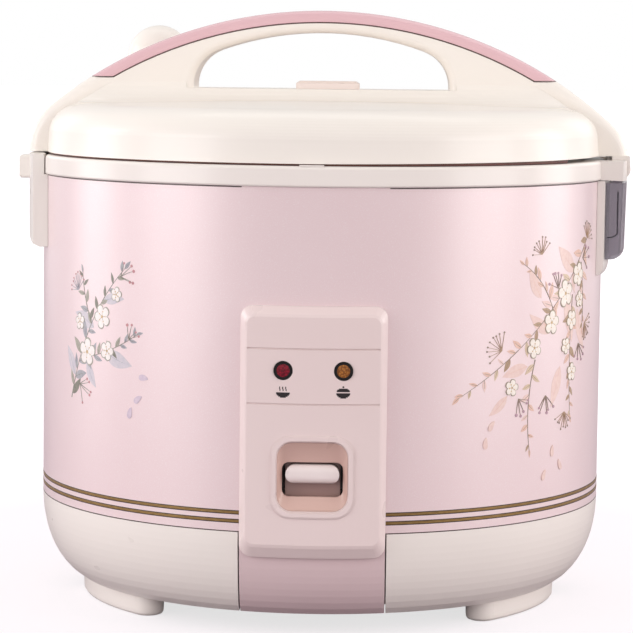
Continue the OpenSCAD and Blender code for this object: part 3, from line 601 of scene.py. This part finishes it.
def right_spray(ink, rng):
    """A long garland from upper right to lower left with hanging twigs, in warmer colours."""
    warm = ["peach", "sand", "peach", "bark", "blush"]
    for start, heading, length in (
            ((160, 180), 150, 22), ((150, 166), -60, 24), ((136, 150), 160, 20),
            ((164, 160), -80, 24), ((118, 134), 190, 18), ((146, 132), -110, 22),
            ((128, 168), 130, 18), ((104, 120), -130, 15)):
        leaf(ink, rng, mm_pair(start), heading, length * MM, "blush", "peach")
    for start, heading, length, turn, size, count in (
            ((177, 197), 226, 128, -18, 9, 27), ((158, 168), 262, 62, 14, 8, 15),
            ((140, 158), 112, 38, 40, 7.5, 9), ((124, 137), 250, 46, 30, 7, 9),
            ((168, 184), 285, 34, -20, 7, 9)):
        sprig(ink, rng, mm_pair(start), heading, length * MM, turn, "umber", warm, size * MM,
              count)
    for u, z, heading in (
            (176, 196, 60), (128, 190, 110), (100, 143, 150), (151, 108, 265), (174, 152, -40)):
        seed_head(ink, rng, mm_pair((u, z)), heading, 9 * MM, "bark", "umber")
    for u, z, heading in (
            (170, 186, 20), (143, 172, 110), (112, 118, -60), (166, 142, -70), (133, 118, -90)):
        berries(ink, rng, mm_pair((u, z)), heading, 9 * MM, "umber", "mauve", 5)
    for u, z, size, heading in (
            (164, 178, 13, 0), (150, 169, 15, 30), (157, 155, 11, 50), (137, 155, 13, 10),
            (166, 165, 9, 20), (123, 143, 11, 45), (158, 128, 10, 15), (151, 142, 9, 60),
            (107, 124, 9, 5)):
        blossom(ink, u * MM, z * MM, size * MM, heading, "cream", "khaki", "gold")
    for u, z, heading in (
            (140, 92, 250), (146, 84, 280), (134, 80, 230), (96, 108, 220), (91, 100, 250)):
        ink.stroke("blush", mm_pair((u, z)), heading, 6 * MM, 3.2 * MM, "petal", 30)


def decorate_wall():
    """Two sprays of the script's own design, one on each side of the panel."""
    inks = {
        "moss": ("#8c897c", "#7b786c"), "slate": ("#b3b1b6", "#a19fa8"),
        "sage": ("#b3ada0", "#a19c8f"), "mist": ("#d9d0d6", "#cdc6cf"),
        "lilac": ("#ddcbd8", "#cfbccd"), "white": ("#fbf3ef", "#f2e9e6"),
        "gold": ("#d9b98a", "#c2a074"), "berry": ("#d19a9c", "#c08489"),
        "peach": ("#ecc8b8", "#e5bcab"), "sand": ("#e0c9b0", "#d5bc9f"),
        "bark": ("#bda083", "#ab8c70"), "blush": ("#f1d5cd", "#ebcbc4"),
        "umber": ("#9c8878", "#8c7868"), "mauve": ("#c3a0ac", "#b58f9c"),
        "cream": ("#fbf3ea", "#f4e9df"), "khaki": ("#b5a894", "#a39682"),
    }
    colours = {name: paint_on(f"ink_{name}", *pair) for name, pair in inks.items()}
    for prefix, draw, seed in (("spray_left", left_spray, 5), ("spray_right", right_spray, 8)):
        ink = Print(prefix, WALL_R, "pink_enamel", colours)
        draw(ink, random.Random(seed))
        ink.finish()


# ---------------------------------------------------------------- rings, seams and signs

def loops_piece(name, loops, material, body, closed=False, smooth=True):
    """A mesh skinned over loops of equally many points, capped or joined end to end."""
    form = bmesh.new()
    rows = [[form.verts.new(point) for point in loop] for loop in loops]
    pairs = list(zip(rows, rows[1:]))
    if closed:
        pairs.append((rows[-1], rows[0]))
    else:
        form.faces.new(rows[0][::-1])
        form.faces.new(rows[-1])
    for one, two in pairs:
        for i in range(len(one)):
            j = (i + 1) % len(one)
            form.faces.new((one[i], one[j], two[j], two[i]))
    bmesh.ops.recalc_face_normals(form, faces=form.faces)
    piece = add_mesh(name, form, body)
    piece.data.materials.append(material)
    if smooth:
        piece.data.shade_smooth()
        piece.data.set_sharp_from_angle(angle=math.radians(30))


def wall_ring(name, z, height, proud, material, start=PANEL_STOP, end=360 - PANEL_STOP):
    """A flat band printed on the wall, in millimetres, from azimuth start round the back to end."""
    steps, sunk = 240, 0.1
    ease = proud * 0.6
    low, top = z - height / 2, z + height / 2
    section = [(-sunk, low), (proud - ease, low), (proud, low + ease), (proud, top - ease),
               (proud - ease, top), (-sunk, top)]
    loops = []
    for k in range(steps + 1):
        a = math.radians(start + (end - start) * k / steps)
        loops.append([((WALL_R + d * MM) * math.sin(a), -(WALL_R + d * MM) * math.cos(a), z * MM)
                      for d, z in section])
    loops_piece(name, loops, material, "housing", smooth=False)


def stripe_wall():
    """Two gilt stripes with dark edges, which stop at the panel's sides."""
    gilt = sheet_metal("gilt", "#a98a55", "#8b6d40", 0.34, (1, 1, 6), 0.55, 0.003)
    edging = paint_on("stripe_edge", "#4b382d", "#3a2a22", 0.004)
    for number, z in enumerate((64.2, 59.9), 1):
        wall_ring(f"stripe_{number}_edge", z, 2.1, 0.05, edging)
        wall_ring(f"stripe_{number}_gilt", z, 1.2, 0.08, gilt)


def rounded_outline(width, height, radius, middle):
    """Points (x, z) round a rectangle with rounded corners, centred on the middle plane."""
    steps = 8
    points = []
    for quarter, (sx, sz) in enumerate(((1, 1), (-1, 1), (-1, -1), (1, -1))):
        for k in range(steps + 1):
            a = math.radians(90 * (quarter + k / steps))
            points.append((sx * (width / 2 - radius) + radius * math.cos(a),
                           middle + sz * (height / 2 - radius) + radius * math.sin(a)))
    return [(x * MM, z * MM) for x, z in points]


def add_window_surround(material):
    """The tapered surround in the switch window, which ends in a thin lip round the lever."""
    sections = (  # y, width, height, corner radius, height of the middle
        (-154.7, 34.6, 33.8, 7.5, 83.7), (-154.75, 34.2, 33.4, 7.3, 83.7),
        (-154.4, 33.6, 32.8, 7.1, 83.7), (-151.2, 30.9, 18.9, 4.0, 82.1),
        (-150.9, 30.1, 17.2, 3.5, 81.95), (-150.4, 29.8, 16.8, 3.3, 81.95),
        (-149.9, 29.8, 16.8, 3.3, 81.95), (-149.95, 31.2, 21.1, 4.2, 83.7))
    loops = [[(x, y * MM, z) for x, z in rounded_outline(*shape)] for y, *shape in sections]
    loops_piece("window_surround", loops, material, "housing", closed=True)


def add_seams(material):
    """The fine dark lines where the wall goes into the rim and into the base."""
    rim_z, base_z, height, proud = 224.55, 54.7, 0.55, 0.06
    # The upper one leaves out the stretch behind the latch button
    wall_ring("seam_rim", rim_z, height, proud, material, end=258)
    wall_ring("seam_rim_left", rim_z, height, proud, material, start=282)
    wall_ring("seam_base", base_z, height, proud, material)


def add_gap_shade_lip(material):
    """A soft brown lip under the lid's edge, painted shade in the gap there, open towards the hinge,
    whose top follows the lid.
    """
    start, end, steps = 121, 419, 200
    inner, outer, bevel = 145.4, 147.5, 0.2
    low, foot = 235.15, 235.45
    front_top, rise = 236.3, 1.1 * 146.6 / 158.2     # the lid's edge climbs towards the hinge
    loops = []
    for k in range(steps + 1):
        a = math.radians(start + (end - start) * k / steps)
        high = front_top + rise * max(0.0, math.sin(a))
        loops.append([(r * MM * math.sin(a), -r * MM * math.cos(a), z * MM)
                      for r, z in ((inner, low), (outer - bevel, low), (outer, foot),
                                   (outer, high), (inner, high))])
    loops_piece("lid_gap_shade_lip", loops, material, "lid")


def add_cup_lines(material):
    """The moulded slot and the level line on the front end of the drip cup."""
    half, sunk, proud = 0.28, 0.1, -0.12
    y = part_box("dew_collector")[0][1]
    lines = {"cup_slot": [(155.6, 219.0), (155.6, 197.5)],
             "cup_level": [(150.3, 194.8), (152.6, 195.0), (154.6, 195.9), (156.0, 197.6)]}
    for name, line in lines.items():
        loops = []
        for k, (x, z) in enumerate(line):
            (x0, z0), (x1, z1) = line[max(k - 1, 0)], line[min(k + 1, len(line) - 1)]
            away = Vector((z0 - z1, x1 - x0)).normalized() * half
            loops.append([((x + s * away[0]) * MM, y + d * MM, (z + s * away[1]) * MM)
                          for s, d in ((-1, sunk), (-1, proud), (1, proud), (1, sunk))])
        loops_piece(name, loops, material, "dew_collector")


def add_strip_seams(material):
    """The dark line in the shadow gap round the handle's coloured strip."""
    axis_z, arch_r, half_w, edge_r = 82.0, 230.0, 23.0, 5.0     # the handle's arch in the CAD
    low_r, high_r, in_y, out_y = 223.3, 223.95, 21.5, 22.9      # the gap under the strip's edges
    start, sweep, steps = 60.1, 59.8, 96
    for name, side in (("strip_seam_front", -1), ("strip_seam_rear", 1)):
        loops = []
        for k in range(steps + 1):
            a = math.radians(start + sweep * k / steps)
            loops.append([(r * math.cos(a) * MM, side * y * MM, (axis_z + r * math.sin(a)) * MM)
                          for r, y in ((low_r, in_y), (low_r, out_y), (high_r, out_y),
                                       (high_r, in_y))])
        loops_piece(name, loops, material, "lid")
    low_z, high_z, in_x, length, steps = 275.92, 276.18, 111.4, 11.8, 24    # and at its ends
    for name, side in (("strip_seam_left", -1), ("strip_seam_right", 1)):
        loops = []
        for k in range(steps + 1):
            x = in_x + length * k / steps
            # The handle narrows over its rounded edges
            bend = max(math.hypot(x, 276.05 - axis_z) - (arch_r - edge_r), 0)
            half = half_w - edge_r + math.sqrt(max(edge_r ** 2 - bend ** 2, 0)) - 0.1
            loops.append([(side * x * MM, y * MM, z * MM) for y, z in
                          ((-half, low_z), (half, low_z), (half, high_z), (-half, high_z))])
        loops_piece(name, loops, material, "lid")


def mark_panel(material):
    """Two plain signs under the lamps: a steaming bowl, and a covered bowl kept warm."""
    ink = Print("sign", PANEL_R, "panel_plastic", {"dark": material})
    middle, z, rows = 14.7, 125.0, range(5)

    def bar(u, z, half, thick):
        ink.stroke("dark", mm_pair((u - half, z)), 0, 2 * half * MM, thick * MM, "bar")

    for u in (-middle, middle):
        for k in rows:
            bar(u, z - 0.5 * k, 3.4 - 0.125 * k * k, 0.56)
        if u > 0:
            for k in rows:
                bar(u, z + 1.1 + 0.4 * k, math.sqrt(3.2 ** 2 - (0.8 * k) ** 2), 0.45)
            ink.dot("dark", u * MM, (z + 3.3) * MM, 0.9 * MM)
        else:
            for side in (-1.5, 0, 1.5):
                at = mm_pair((u + side, z + 1.0))
                for turn in (60, -60):
                    at = ink.stroke("dark", at, 90 - turn / 2, 1.1 * MM, 0.42 * MM, "bar",
                                    turn=turn, steps=5)
    ink.finish()


# ---------------------------------------------------------------- building

add_camera()
light_the_set()
finishes = make_finishes()
finish_nodes(finishes)
decorate_wall()
stripe_wall()
# The surround is browner and darker than the panel: painted shade in the recess.
add_window_surround(moulding("recess_painted_shade", "#dcb9ae", "#d6b1a6"))
add_seams(paint_on("seam_shadow", "#5d4b46", "#4a3b37", 0.003))
# A dark brown lip in the gap under the lid: painted shade.
add_gap_shade_lip(silicone("gap_shade_brown", "#6b4640", "#5b3a35"))
add_strip_seams(satin_moulding("strip_shadow", "#6a5450", "#5a4642", 0.5))
add_cup_lines(satin_moulding("cup_shadow", "#3b3940", "#2e2c33", 0.4))
mark_panel(paint_on("sign_ink", "#2b2426", "#231d1f", 0.002))
